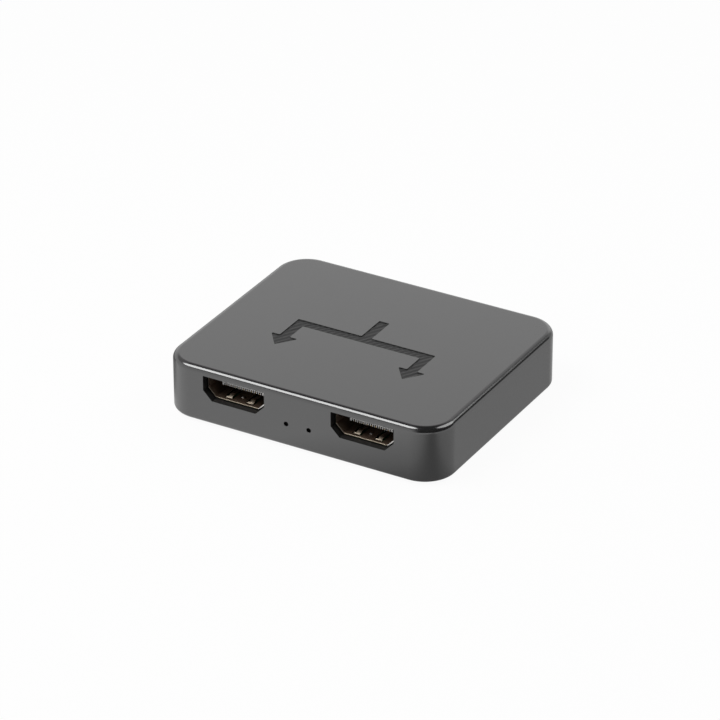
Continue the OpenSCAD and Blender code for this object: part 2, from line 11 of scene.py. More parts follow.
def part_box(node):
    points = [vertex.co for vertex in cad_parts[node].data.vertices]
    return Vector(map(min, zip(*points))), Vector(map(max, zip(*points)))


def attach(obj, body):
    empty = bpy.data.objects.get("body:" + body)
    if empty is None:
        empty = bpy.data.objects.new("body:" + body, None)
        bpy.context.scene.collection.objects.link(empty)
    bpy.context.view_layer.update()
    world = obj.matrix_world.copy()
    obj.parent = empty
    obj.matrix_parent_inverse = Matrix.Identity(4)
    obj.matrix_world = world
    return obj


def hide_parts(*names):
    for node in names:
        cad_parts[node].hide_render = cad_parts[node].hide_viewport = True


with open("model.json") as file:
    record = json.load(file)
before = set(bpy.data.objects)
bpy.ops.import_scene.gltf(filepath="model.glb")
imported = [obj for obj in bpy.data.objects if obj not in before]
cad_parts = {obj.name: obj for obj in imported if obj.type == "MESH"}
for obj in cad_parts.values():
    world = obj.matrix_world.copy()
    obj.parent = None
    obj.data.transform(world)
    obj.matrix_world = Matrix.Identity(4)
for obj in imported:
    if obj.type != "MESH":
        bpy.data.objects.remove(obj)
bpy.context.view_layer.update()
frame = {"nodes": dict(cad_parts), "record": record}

# Shared by all the pieces: metres in a millimetre, then lengths, degrees and counts
MM = 0.001
WELD = 0.0005
SHARP_ANGLE = 35
FLAT_ANGLE = 0.5
EDGE_SEGMENTS = 2
HOLE_STEPS = 32
ROUND_STEPS = 40
FINE_ROUND_STEPS = 64
CUT_CLEAR = 0.1
CUT_BEYOND = 1


def span(node):
    """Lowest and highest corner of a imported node, in millimetres."""
    low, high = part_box(node)
    return low / MM, high / MM


# Case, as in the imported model
CORNER_R = 7.2
TOP_EDGE = 1.4
BOTTOM_EDGE = 0.9
WALL_T = 1.8
TOP_T = 1.4
RIM_T = 1.1
COVER_GAP = 0.1
BASE_T = 1.4
FOOT_SUNK = 0.3
SCREW_GAP = 0.15
CORNER_STEPS = 28
EDGE_STEPS = 14
BOTTOM_EDGE_STEPS = 8
INNER_FILLET = 0.3
INNER_FILLET_STEPS = 4
HOLE_LIP = 0.05
HOLE_CORNER = 0.16
LIP_TURN = math.radians(78)
LIP_STEPS = 4
LIP_BEYOND = 0.3
PLATE_EDGE = 0.25
PLATE_EDGE_SHARE = 0.3
POST_EDGE = 0.15

case_low, case_high = span("top_cover")
half_w = case_high.x
half_d = case_high.y
case_bottom = case_low.z
case_top = case_high.z
ceiling = case_top - TOP_T
base_low, base_high = span("bottom_cover")
ledge = base_low.z + BASE_T
board_low, board_high = span("main_board")

# Direction mark on the top
MARK_DEPTH = 0.2
MARK_LINE = 2.4
MARK_ARROW_W = 6.4
MARK_ARROW_L = 4.2
MARK_FRONT = 17
MARK_BRANCH = 11
MARK_STEM = 9
MARK_CORNER = 0.25
MARK_LIP = 0.07
HATCH_PITCH = 1.2
HATCH_WIDTH = 0.75
HATCH_HEIGHT = 0.11
HATCH_TURN = math.radians(60)

# Video sockets, by their mounts
VIDEO_NODES = {"output_1": "hdmi_out_1", "output_2": "hdmi_out_2", "input": "hdmi_in"}
SHELL_T = 0.3
PORT_GAP = 0.2
SOCKET_CUT = 1.85
SOCKET_H = 4.55
SHELL_BEND = 0.42
LEAD_IN = 0.5
SHEET_FLARE = 0.12
SHEET_LIP = 0.22
SHEET_BEND_STEPS = 4
TAB_X = 2.6
TAB_W = 1.6
TAB_T = 0.22
TAB_TIP = 0.85
TAB_PEAK = 1.75
TAB_BOW = 1.3
TAB_LIP = 0.2
TAB_NOTCH = 0.6
TAB_EASE = 0.06
TAB_STEPS = 24
TAB_EDGE = TAB_T / 4
TAB_EDGE_STEPS = 2
TAB_ROOT = 5.6
TAB_WINDOW = 0.25
LOW_TAB_RISE = 0.56
HIGH_TAB_RISE = 0.14
CLINCH_X = 0.0
CLINCH_Y = 2.4
CLINCH_WIDE = 0.9
CLINCH_NARROW = 0.5
CLINCH_L = 0.6
CLINCH_H = 0.18
CLINCH_CORNER = 0.08
LEG_STARTS = (1.6, 6.6)
LEG_L = 1.4
SHELL_L = 9.4
TONGUE_BACK = 2.4
TONGUE_LOW = 1.8
COMB_SLOTS = 19
COMB_PITCH = 0.5
COMB_SLOT_W = 0.3
COMB_SLOT_D = 0.4
COMB_SLOT_H = 0.55
COMB_EDGE = 0.03

# Power socket
USB_T = 0.3
USB_W = 6.9
USB_H = 1.85
USB_CUT = 0.8
USB_BEND = 0.4
USB_L = 5.4
USB_LEG_START = 3.2
USB_LEG_L = 1.2

# Status lights
LED_HOLE_D = 1.1

# Legs of the sockets
LEG_BELOW = 0.6
LEG_TAPER = 0.3
LEG_PROUD = 0.02

# Screws, bosses and feet
SCREW_HEAD_D = 3.8
SCREW_D = 2.0
SCREW_HEAD_H = 1.3
SCREW_DOME = 0.35
SCREW_HEAD_FLAT = 0.3
SCREW_EDGE_ENDS = -20
SCREW_EDGE_STEPS = 4
SCREW_POINT_L = 1.2
SCREW_POINT_R = 0.3
SCREW_ROOM = 0.6
CROSS_L = 2.1
CROSS_W = 0.55
CROSS_DEPTH = 0.65
CROSS_FLARE = 1.1
CROSS_TAPER = 0.5
SEAT_FLARE = 0.3
SEAT_LIP = 0.2
BOSS_D = 5.0
POST_D = 6.0
FOOT_EDGE = 0.4
FOOT_EDGE_STEPS = 5
FOOT_DISH = 0.12
DISH_MIDDLE = 0.2
DISH_FLOOR = 0.5
DISH_RIM = 0.58
FOOT_SEAT_FLARE = 0.15
FOOT_SEAT_LIP = 0.05
FEET = ("foot_front_left", "foot_front_right", "foot_back_left", "foot_back_right")

# Small parts on the board
CAP_SHARE = 0.22
CAP_PROUD = 0.03
CAP_EDGE = 0.06
COAT_STARTS = 0.9
COAT_EDGE = 0.021
BLOCK_STEPS = 2
GROOVE_AT = 0.24
GROOVE_DEPTH = 0.18
GROOVE_HALF = 0.35
CAN_EDGE = 0.35
CAN_EDGE_STEPS = 5
CAN_SHARP_ANGLE = 50

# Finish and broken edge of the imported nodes, by their slot
SLOT_FINISH = {
    "case_plastic": ("case", 0.1),
    "screw_steel": ("zinc", 0.05),
    "foot_rubber": ("rubber", 0.1),
    "board_laminate": ("board", 0.04),
    "shell_plating": ("plating", 0.04),
    "socket_plastic": ("socket", 0.03),
    "contact_gold": ("gold", 0.02),
    "power_shell_steel": ("nickel", 0.04),
    "chip_epoxy": ("epoxy", 0.06),
    "tinned_lead": ("tin", 0.02),
    "ferrite": ("ferrite", 0.12),
    "can_metal": ("can", 0.25),
    "capacitor_ceramic": ("ceramic", 0.05),
    "led_lens": ("lens", 0.05),
}

replaced = set()
mounts = {mount["name"]: mount for mount in frame["record"]["mounts"]}


# Shader maths


class Wire:
    """An output socket of a shader tree. Arithmetic on it adds Math nodes to that tree."""

    def __init__(self, tree, socket=None):
        self.tree = tree
        self.socket = socket

    def node(self, kind, inputs=None, output=0, **settings):
        """Adds any other node: its settings first, then its sockets' values or links."""
        made = self.tree.nodes.new("ShaderNode" + kind)
        for name, value in settings.items():
            setattr(made, name, value)
        for name, value in (inputs or {}).items():
            if isinstance(value, Wire):
                self.tree.links.new(value.socket, made.inputs[name])
            else:
                made.inputs[name].default_value = value
        return Wire(self.tree, made.outputs[output] if made.outputs else None)

    def math(self, operation, first, second=0.0):
        """One Math node on numbers or wires."""
        return self.node("Math", {0: first, 1: second}, operation=operation)

    def __add__(self, other):
        return self.math("ADD", self, other)

    def __sub__(self, other):
        return self.math("SUBTRACT", self, other)

    def __rsub__(self, other):
        return self.math("SUBTRACT", other, self)

    def __mul__(self, other):
        return self.math("MULTIPLY", self, other)

    def __gt__(self, other):
        return self.math("GREATER_THAN", self, other)

    __radd__ = __add__
    __rmul__ = __mul__

    def smooth(self, low, high):
        """0 where this wire is low and 1 where it is high, with a soft step between."""
        limits = {"Value": self, "From Min": low, "From Max": high}
        return self.node("MapRange", limits, interpolation_type="SMOOTHSTEP")

    def mix(self, first, second):
        """A colour that goes from first to second as this wire goes from 0 to 1."""
        return self.node("Mix", {0: self, 6: first, 7: second}, output=2, data_type="RGBA")

    def noise(self, size, detail=2.0, roughness=0.5):
        """Cloudy values from 0 to 1 over these coordinates, with clouds of a size in millimetres."""
        return self.node("TexNoise", {
            "Vector": self, "Scale": 1 / (size * MM), "Detail": detail, "Roughness": roughness})

    def stretched(self, x, y, z):
        """These coordinates with each axis drawn out by a factor."""
        factors = (1 / x, 1 / y, 1 / z)
        return self.node("VectorMath", {0: self, 1: factors}, operation="MULTIPLY")

    def part(self, axis):
        """One of these coordinates: X, Y or Z."""
        return self.node("SeparateXYZ", {0: self}, output=axis)

    def bump(self, depth, strength):
        """A normal for these heights, where 1 is a depth in millimetres."""
        return self.node("Bump", {"Height": self, "Strength": strength, "Distance": depth * MM})


def new_material(name):
    """An empty material and the object's own coordinates in its tree, in metres."""
    material = bpy.data.materials.new(name)
    material.use_nodes = True
    material.node_tree.nodes.clear()
    return material, Wire(material.node_tree).node("TexCoord", output="Object")


def surface(place, **sockets):
    """Closes a material's tree with one surface shader. Underscores stand for spaces."""
    shader = place.node("BsdfPrincipled", {name.replace("_", " "): sockets[name] for name in sockets})
    place.node("OutputMaterial", {"Surface": shader})


def shade(colour, by):
    """A colour made lighter or darker by a factor."""
    return tuple(channel * by for channel in colour[:3]) + (1.0,)


# Finishes

CASE_GREY = (0.014, 0.014, 0.0143, 1.0)
CASE_ROUGHNESS = 0.14
CASE_IOR = 2.0
BASE_GREY = (0.032, 0.032, 0.0325, 1.0)
ZINC = (0.45, 0.45, 0.44, 1.0)
RUBBER = (0.022, 0.022, 0.022, 1.0)
BOARD_GREEN = (0.012, 0.075, 0.024, 1.0)
TRACE_GREEN = (0.025, 0.14, 0.045, 1.0)
LAMINATE = (0.36, 0.33, 0.17, 1.0)
CHAMPAGNE = (0.72, 0.62, 0.49, 1.0)
# Darker brown plating, painted as the shade inside the socket shells
INSIDE_SHADE_BROWN = (0.5, 0.34, 0.24, 1.0)
# Near-white plating, painted as a highlight on one lower corner of the shells' lips
LIP_HIGHLIGHT_NICKEL = (0.97, 0.95, 0.92, 1.0)
NICKEL = (0.6, 0.59, 0.57, 1.0)
# Near-black insulator plastic, painted as the shade deep inside the sockets
SOCKET_SHADE_BLACK = (0.02, 0.02, 0.02, 1.0)
TONGUE_GREY = (0.8, 0.8, 0.79, 1.0)
GOLD = (0.83, 0.59, 0.24, 1.0)
EPOXY = (0.022, 0.022, 0.024, 1.0)
TIN = (0.62, 0.62, 0.6, 1.0)
FERRITE = (0.06, 0.056, 0.052, 1.0)
ALUMINIUM = (0.66, 0.66, 0.65, 1.0)
CERAMIC = (0.42, 0.28, 0.14, 1.0)
GLAZE = (0.016, 0.017, 0.02, 1.0)
ALUMINA = (0.72, 0.71, 0.68, 1.0)
LENS = (0.7, 0.75, 0.68, 1.0)


def case_plastic():
    """Glossy moulded plastic: a faint flow of tone, fine grain and a few hazy handling marks."""
    material, place = new_material("case_plastic")
    flow = place.noise(14, 3)
    grain = place.noise(0.16, 2)
    haze = place.noise(5, 4, 0.6).smooth(0.5, 0.72)
    surface(
        place,
        Base_Color=flow.mix(shade(CASE_GREY, 0.94), shade(CASE_GREY, 1.06)),
        Roughness=CASE_ROUGHNESS + (grain - 0.5) * 0.05 + haze * 0.03,
        IOR=CASE_IOR,
        Normal=grain.bump(0.004, 0.35),
    )
    return material


def matt_plastic():
    """The matt, coarser plastic inside the sunk direction mark and the sockets' holes."""
    material, place = new_material("matt_plastic")
    grain = place.noise(0.1, 2)
    surface(
        place,
        Base_Color=grain.mix(shade(CASE_GREY, 0.75), shade(CASE_GREY, 1.1)),
        Roughness=0.42 + grain * 0.12,
        Normal=grain.bump(0.02, 0.5),
    )
    return material


def base_plastic():
    """The bottom cover's plastic: the same colour with a spark-eroded matt texture."""
    material, place = new_material("base_plastic")
    pits = place.noise(0.22, 3, 0.6)
    surface(
        place,
        Base_Color=place.noise(9, 2).mix(shade(BASE_GREY, 0.9), shade(BASE_GREY, 1.12)),
        Roughness=0.46 + pits * 0.12,
        Normal=pits.bump(0.03, 0.6),
    )
    return material


def brushed_metal(name, colour, roughness, run=(0.06, 2.5, 0.06), tarnish=0.12, bare=1.0):
    """Plated sheet with fine drawn lines along run and a slight tarnish. Less bare metal looks duller."""
    material, place = new_material(name)
    lines = place.stretched(*run).noise(1.0, 2)
    clouds = place.noise(1.6, 3, 0.6)
    surface(
        place,
        Base_Color=clouds.mix(shade(colour, 1 - tarnish), shade(colour, 1 + tarnish / 2)),
        Metallic=bare,
        Roughness=roughness + lines * 0.12 + clouds * 0.06,
        Normal=lines.bump(0.006, 0.4),
    )
    return material


def foot_rubber():
    """Matt rubber with a dusty bloom in its pores."""
    material, place = new_material("foot_rubber")
    pores = place.noise(0.12, 3, 0.6)
    bloom = place.noise(1.8, 4, 0.65).smooth(0.45, 0.75)
    surface(
        place,
        Base_Color=bloom.mix(RUBBER, shade(RUBBER, 2.0)),
        Roughness=0.72 + pores * 0.16,
        Normal=pores.bump(0.03, 0.7),
    )
    return material


def board_mask():
    """Green solder mask over fine copper runs, with bare laminate on the board's cut edges."""
    material, place = new_material("board_mask")
    patch = 5.0 * MM
    run_pitch = 0.55 * MM
    run_edge = (0.42 * run_pitch, 0.52 * run_pitch)
    bare_share = 0.25
    level_enough = 0.7
    across = place.part("X")
    along = place.part("Y")
    cell = place.node("VectorMath", {0: place, 1: (patch, patch, 1.0)}, operation="SNAP")
    chance = place.node("TexWhiteNoise", {"Vector": cell}, noise_dimensions="3D")
    turned = chance > 0.5
    ruled = across * turned + along * (1 - turned)
    ripple = place.math("PINGPONG", ruled, run_pitch)
    copper = ripple.smooth(*run_edge) * (chance > bare_share)
    up = place.node("NewGeometry", output="Normal").part("Z")
    flat = place.math("ABSOLUTE", up) > level_enough
    mask = copper.mix(BOARD_GREEN, TRACE_GREEN)
    surface(
        place,
        Base_Color=flat.mix(LAMINATE, mask),
        Roughness=0.75 - flat * 0.42 + place.noise(0.4, 2) * 0.06,
        Normal=(copper * flat).bump(0.02, 0.6),
    )
    return material


def socket_plastic(name, colour):
    """Heat-resistant moulded plastic of the sockets' insides, with a low sheen."""
    material, place = new_material(name)
    grain = place.noise(0.14, 3)
    surface(
        place,
        Base_Color=grain.mix(shade(colour, 0.85), shade(colour, 1.15)),
        Roughness=0.3 + grain * 0.12,
        Normal=grain.bump(0.008, 0.4),
    )
    return material


def moulded_body(name, colour, grain_size, roughness):
    """Filled epoxy or sintered ceramic: a fine speckle in tone, gloss and height."""
    material, place = new_material(name)
    speckle = place.noise(grain_size, 4, 0.65)
    drift = place.noise(2.5, 2)
    tone = drift.mix(shade(colour, 0.85), shade(colour, 1.15))
    surface(
        place,
        Base_Color=speckle.smooth(0.35, 0.75).mix(tone, shade(colour, 1.5)),
        Roughness=roughness + speckle * 0.15,
        Normal=speckle.bump(0.012, 0.5),
    )
    return material


def led_lens():
    """Clear moulded lens, a little milky, with the light off."""
    material, place = new_material("led_lens")
    milk = place.noise(0.3, 2)
    surface(
        place,
        Base_Color=milk.mix(shade(LENS, 0.9), LENS),
        Roughness=0.12 + milk * 0.1,
        Transmission_Weight=0.35,
    )
    return material


finish = {
    "case": case_plastic(),
    "matt": matt_plastic(),
    "base": base_plastic(),
    "zinc": brushed_metal("screw_zinc", ZINC, 0.3, (0.3, 0.3, 0.3), 0.2),
    "rubber": foot_rubber(),
    "board": board_mask(),
    "plating": brushed_metal("shell_plating", shade(CHAMPAGNE, 0.65), 0.22),
    # A darker, browner copy of the plating, painted as the shade inside the shells
    "inside": brushed_metal("shell_inside", shade(INSIDE_SHADE_BROWN, 0.34), 0.3, bare=0.5),
    # Near-black plating on the sides of the shells' lips, painted as shade
    "edge": brushed_metal("shell_lip_painted_shade", shade(CHAMPAGNE, 0.06), 0.14),
    # Near-white plating, painted as a highlight on one lower corner of the lips and on the seam clinch
    "painted_highlight": brushed_metal("lip_painted_highlight", LIP_HIGHLIGHT_NICKEL, 0.3),
    "tab": brushed_metal("spring_tab", shade(CHAMPAGNE, 0.7), 0.32, tarnish=0.3),
    "nickel": brushed_metal("power_shell_plating", NICKEL, 0.22),
    # Near-black, painted as the shade deep inside the sockets; the tongue's front is grey
    "socket": socket_plastic("socket_plastic", SOCKET_SHADE_BLACK),
    "tongue": socket_plastic("tongue_plastic", TONGUE_GREY),
    "gold": brushed_metal("contact_gold", GOLD, 0.16, tarnish=0.06),
    "epoxy": moulded_body("chip_epoxy", EPOXY, 0.07, 0.5),
    "tin": brushed_metal("tinned_lead", TIN, 0.3, (0.4, 0.4, 0.4), 0.15),
    "ferrite": moulded_body("ferrite", FERRITE, 0.12, 0.55),
    "can": brushed_metal("can_aluminium", ALUMINIUM, 0.28, (0.08, 0.08, 2.0), 0.08),
    "ceramic": moulded_body("capacitor_ceramic", CERAMIC, 0.1, 0.45),
    "glaze": moulded_body("resistor_glaze", GLAZE, 0.08, 0.25),
    "substrate": moulded_body("resistor_substrate", ALUMINA, 0.1, 0.5),
    "lens": led_lens(),
}


# Mesh building


def placed(name, data):
    """A new object in the scene, from a mesh, a camera or a lamp."""
    made = bpy.data.objects.new(name, data)
    bpy.context.scene.collection.objects.link(made)
    return made


def make_piece(name, points, faces, material):
    """A closed mesh from points in millimetres, with its faces turned outwards."""
    mesh = bpy.data.meshes.new(name)
    mesh.from_pydata([Vector(point) * MM for point in points], [], faces)
    mesh.materials.append(material)
    shape = bmesh.new()
    shape.from_mesh(mesh)
    bmesh.ops.recalc_face_normals(shape, faces=shape.faces)
    shape.to_mesh(mesh)
    shape.free()
    return placed(name, mesh)


def loft(name, rings, material, loop=False):
    """Skins rings of equally many points. The ends are capped, unless the rings close in a loop."""
    count = len(rings[0])
    total = count * len(rings)
    faces = []
    for start in range(0, total if loop else total - count, count):
        after = (start + count) % total
        for step in range(count):
            following = (step + 1) % count
            faces.append((start + step, start + following, after + following, after + step))
    if not loop:
        faces.append(tuple(range(count)))
        faces.append(tuple(range(total - count, total)))
    return make_piece(name, [point for ring in rings for point in ring], faces, material)


def carve(piece, cutters, operation="DIFFERENCE"):
    """Takes closed cutting shapes out of a piece. Cut faces keep the cutter's material."""
    for cutter in cutters:
        cut = piece.modifiers.new("cut", "BOOLEAN")
        cut.operation = operation
        cut.solver = "EXACT"
        cut.material_mode = "TRANSFER"
        cut.object = cutter
    graph = bpy.context.evaluated_depsgraph_get()
    mesh = bpy.data.meshes.new_from_object(piece.evaluated_get(graph), depsgraph=graph)
    piece.modifiers.clear()
    piece.data = mesh
    for cutter in cutters:
        bpy.data.objects.remove(cutter)
    return piece


def joined(name, pieces):
    """One piece from several, with all their materials."""
    materials = []
    shape = bmesh.new()
    for piece in pieces:
        first = len(shape.faces)
        shape.from_mesh(piece.data)
        shape.faces.ensure_lookup_table()
        own = list(piece.data.materials)
        for material in own:
            if material not in materials:
                materials.append(material)
        for face in shape.faces[first:]:
            face.material_index = materials.index(own[face.material_index])
    for piece in pieces:
        bpy.data.objects.remove(piece)
    mesh = bpy.data.meshes.new(name)
    shape.to_mesh(mesh)
    shape.free()
    for material in materials:
        mesh.materials.append(material)
    return placed(name, mesh)


def shift(piece, x, y, z, turn):
    """Moves and turns a piece's own points, in millimetres and radians."""
    piece.data.transform(Matrix.Translation(Vector((x, y, z)) * MM) @ Matrix.Rotation(turn, 4, "Z"))
    return piece


def smooth_faces(piece, sharp=SHARP_ANGLE):
    """Shades a piece smoothly between edges that turn by more than an angle in degrees."""
    piece.data.shade_smooth()
    piece.data.set_sharp_from_angle(angle=math.radians(sharp))
    normals = piece.modifiers.new("even_normals", "WEIGHTED_NORMAL")
    normals.keep_sharp = True
    return piece


def break_edges(piece, width):
    """Rounds a piece's sharp edges by a width in millimetres."""
    weld = piece.modifiers.new("weld", "WELD")
    weld.merge_threshold = WELD * MM
    edges = piece.modifiers.new("broken_edges", "BEVEL")
    edges.width = width * MM
    edges.segments = EDGE_SEGMENTS
    edges.limit_method = "ANGLE"
    edges.angle_limit = math.radians(SHARP_ANGLE)
    edges.harden_normals = False
    return piece


def stands_for(piece, slot, *nodes):
    """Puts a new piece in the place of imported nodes."""
    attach(piece, "root")
    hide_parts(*nodes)
    replaced.update(nodes)
    return piece


# Outlines


def corners(points):
    """Each point of a closed outline, with its neighbours before and after it."""
    ring = [Vector(point) for point in points]
    return [(ring[i - 1], ring[i], ring[(i + 1) % len(ring)]) for i in range(len(ring))]


def grown(points, by):
    """A closed outline, drawn anticlockwise, with each edge moved outwards."""
    moved = []
    for before, point, after in corners(points):
        arriving = (point - before).normalized()
        leaving = (after - point).normalized()
        out_in = Vector((arriving.y, -arriving.x))
        out_next = Vector((leaving.y, -leaving.x))
        moved.append(point + (out_in + out_next) * by / (1 + out_in.dot(out_next)))
    return moved


def rounded(points, radius, steps=3):
    """A closed outline with its corners rounded."""
    curve = []
    for before, point, after in corners(points):
        to_before = (before - point).normalized()
        to_after = (after - point).normalized()
        half = to_before.angle(to_after) / 2
        centre = point + (to_before + to_after).normalized() * radius / math.sin(half)
        start = point + to_before * radius / math.tan(half) - centre
        end = point + to_after * radius / math.tan(half) - centre
        turn = math.atan2(start.x * end.y - start.y * end.x, start.dot(end))
        for step in range(steps + 1):
            angle = turn * step / steps
            curve.append(centre + Matrix.Rotation(angle, 2) @ start)
    return curve


def rectangle(low_x, low_y, high_x, high_y):
    """A rectangle's corners, drawn anticlockwise."""
    return [(low_x, low_y), (high_x, low_y), (high_x, high_y), (low_x, high_y)]


def circle(x, y, radius, steps):
    """Points round a circle, anticlockwise."""
    angles = [2 * math.pi * step / steps for step in range(steps)]
    return [(x + radius * math.cos(angle), y + radius * math.sin(angle)) for angle in angles]


def socket_outline(width, height, cut, grow):
    """A socket's opening: wide side up, lower corners cut, grown outwards."""
    side = width / 2
    return grown([
        (-side, height), (-side, cut), (cut - side, 0), (side - cut, 0), (side, cut), (side, height)
    ], grow)


def upright(outline, y):
    """A flat outline in (x, z), as points at one depth."""
    return [(point[0], y, point[1]) for point in outline]


def level(outline, z):
    """A flat outline in (x, y), as points at one height."""
    return [(point[0], point[1], z) for point in outline]


def lip_steps(radius):
    """(depth, growth) pairs for a cutter that rounds the edge of the hole it cuts."""
    pairs = []
    for step in range(LIP_STEPS + 1):
        angle = LIP_TURN * step / LIP_STEPS
        pairs.append((radius * (1 - math.sin(angle)), radius * (1 - math.cos(angle))))
    last_depth, last_growth = pairs[-1]
    outside = -radius * LIP_BEYOND
    pairs.append((outside, last_growth + (last_depth - outside) * math.tan(LIP_TURN)))
    return pairs


# Case


def case_ring(inset, height):
    """The case's outline, drawn in by an inset, at one height."""
    radius = CORNER_R - inset
    x = half_w - CORNER_R
    y = half_d - CORNER_R
    ring = []
    for turns, (side_x, side_y) in enumerate(((x, y), (-x, y), (-x, -y), (x, -y))):
        for step in range(CORNER_STEPS + 1):
            angle = math.pi / 2 * (turns + step / CORNER_STEPS)
            ring.append((side_x + radius * math.cos(angle), side_y + radius * math.sin(angle), height))
    return ring


def quarter(inset, height, radius, start, end, steps):
    """(inset, height) pairs on an arc round a centre. At 0 degrees it faces outwards, at 90 upwards."""
    pairs = []
    for step in range(steps + 1):
        angle = math.radians(start + (end - start) * step / steps)
        pairs.append((inset - radius * math.cos(angle), height + radius * math.sin(angle)))
    return pairs


def turned_edge(radius, *arc):
    """The same arc as (radius, height) pairs, for a turned shape."""
    return [(radius - inset, height) for inset, height in quarter(*arc)]


def socket_cutter(mouth, width, height, cut, thickness, floor):
    """A cutter for one socket hole, from inside the wall to outside it, with a rounded lip."""
    inwards = -1 if mouth.y > 0 else 1
    rings = []
    for depth, growth in [(WALL_T + CUT_BEYOND, 0.0)] + lip_steps(HOLE_LIP):
        outline = socket_outline(width, height, cut, thickness + PORT_GAP + growth)
        outline = [(x + mouth.x, z + floor) for x, z in rounded(outline, HOLE_CORNER)]
        rings.append(upright(outline, inwards * (depth - half_d)))
    return loft("socket_cutter", rings, finish["matt"])


def light_cutter(x, z):
    """A cutter for one round light hole in the front wall, with a rounded lip."""
    rings = []
    for depth, growth in [(WALL_T + CUT_BEYOND, 0.0)] + lip_steps(HOLE_LIP / 2):
        rings.append(upright(circle(x, z, LED_HOLE_D / 2 + growth, HOLE_STEPS), depth - half_d))
    return loft("light_cutter", rings, finish["case"])


def mark_outline():
    """The direction mark: one stem from the back that forks into two arrows, one for each output."""
    line = MARK_LINE / 2
    out = mouths["output_2"].x
    head = MARK_ARROW_W / 2
    tip = MARK_FRONT - half_d
    neck = tip + MARK_ARROW_L
    bar = tip + MARK_BRANCH
    right = [
        (out, tip), (out + head, neck), (out + line, neck), (out + line, bar + line),
        (line, bar + line), (line, bar + MARK_STEM)]
    left = [(-x, y) for x, y in reversed(right)]
    under = [
        (-out + head, neck), (-out + line, neck), (-out + line, bar - line),
        (out - line, bar - line), (out - line, neck), (out - head, neck)]
    return right + left + under


def mark_cutter():
    """A cutter for the sunk mark, whose floor leaves slanted hatch ridges standing."""
    outline = mark_outline()
    floor = case_top - MARK_DEPTH
    rings = [level(rounded(outline, MARK_CORNER), floor)]
    for depth, growth in lip_steps(MARK_LIP):
        rings.append(level(rounded(grown(outline, growth), MARK_CORNER), case_top - depth))
    cutter = loft("mark_cutter", rings, finish["matt"])
    along = Vector((math.cos(HATCH_TURN), math.sin(HATCH_TURN)))
    across = Vector((along.y, -along.x))
    foot = across * HATCH_WIDTH
    crest = Vector((0.0, 0.0))
    section = [(-foot, -HATCH_HEIGHT), (foot, -HATCH_HEIGHT), (crest, HATCH_HEIGHT)]
    count = int(half_w / HATCH_PITCH)
    ridges = []
    for number in range(-count, count + 1):
        middle = across * number * HATCH_PITCH
        ends = []
        for end in (-half_w, half_w):
            centre = middle + along * end
            ends.append([(*(centre + side), floor + rise) for side, rise in section])
        ridges.append(loft("ridge", ends, finish["matt"]))
    return carve(cutter, [joined("ridges", ridges)])


def round_column(x, y, profile, material, steps=ROUND_STEPS):
    """A turned shape about an upright axis, from (radius, height) pairs."""
    rings = [level(circle(x, y, radius, steps), height) for radius, height in profile]
    return loft("column", rings, material)


mouths = {name: Vector(mounts[name]["pos_m"]) / MM for name in (*VIDEO_NODES, "power")}
shell_low, shell_high = span("hdmi_out_1_shell")
socket_w = shell_high.x - shell_low.x - 2 * SHELL_T
socket_floor = mouths["output_1"].z - SOCKET_H / 2
usb_floor = mouths["power"].z - USB_H / 2
screw_high = span("case_screws")[1]
led_low, led_high = span("status_led_1")
led_x = -(led_low.x + led_high.x) / 2
led_z = (led_low.z + led_high.z) / 2

screw_x = screw_high.x - SCREW_HEAD_D / 2
screw_y = screw_high.y - SCREW_HEAD_D / 2
four_screws = [(sx * screw_x, sy * screw_y) for sx in (-1, 1) for sy in (-1, 1)]
four_feet = [[value / MM for value in mounts[name]["pos_m"][:2]] for name in FEET]
foot_low, foot_high = span("rubber_feet")
foot_r = foot_high.x - mounts["foot_front_right"]["pos_m"][0] / MM


def top_cover():
    """The cover with its walls: rings round the section of the wall, holes, bosses and the sunk mark."""
    section = quarter(
        WALL_T + INNER_FILLET, ceiling - INNER_FILLET, INNER_FILLET, 90, 0, INNER_FILLET_STEPS)
    section += [(WALL_T, ledge), (RIM_T, ledge), (RIM_T, case_bottom)]
    section += quarter(BOTTOM_EDGE, case_bottom + BOTTOM_EDGE, BOTTOM_EDGE, -90, 0, BOTTOM_EDGE_STEPS)
    section += quarter(TOP_EDGE, case_top - TOP_EDGE, TOP_EDGE, 0, 90, EDGE_STEPS)
    cover = loft("case_top_cover", [case_ring(*pair) for pair in section], finish["case"])
    bosses = []
    pilots = []
    for x, y in four_screws:
        bosses.append(round_column(x, y, [
            (BOSS_D / 2, board_high.z), (BOSS_D / 2, ceiling - INNER_FILLET),
            (BOSS_D / 2 + INNER_FILLET, ceiling + TOP_T / 2)], finish["case"]))
        pilots.append(round_column(x, y, [
            (SCREW_D / 2 + HOLE_LIP, board_high.z - CUT_CLEAR), (SCREW_D / 2, board_high.z + HOLE_LIP),
            (SCREW_D / 2, screw_high.z + SCREW_ROOM)], finish["case"]))
    carve(cover, bosses, "UNION")
    video = (socket_w, SOCKET_H, SOCKET_CUT, SHELL_T, socket_floor)
    cutters = [socket_cutter(mouths[name], *video) for name in VIDEO_NODES]
    cutters.append(socket_cutter(mouths["power"], USB_W, USB_H, USB_CUT, USB_T, usb_floor))
    cutters += [light_cutter(x, led_z) for x in (-led_x, led_x)]
    carve(cover, pilots + cutters + [mark_cutter()])
    return stands_for(smooth_faces(cover), "case_plastic", "top_cover")


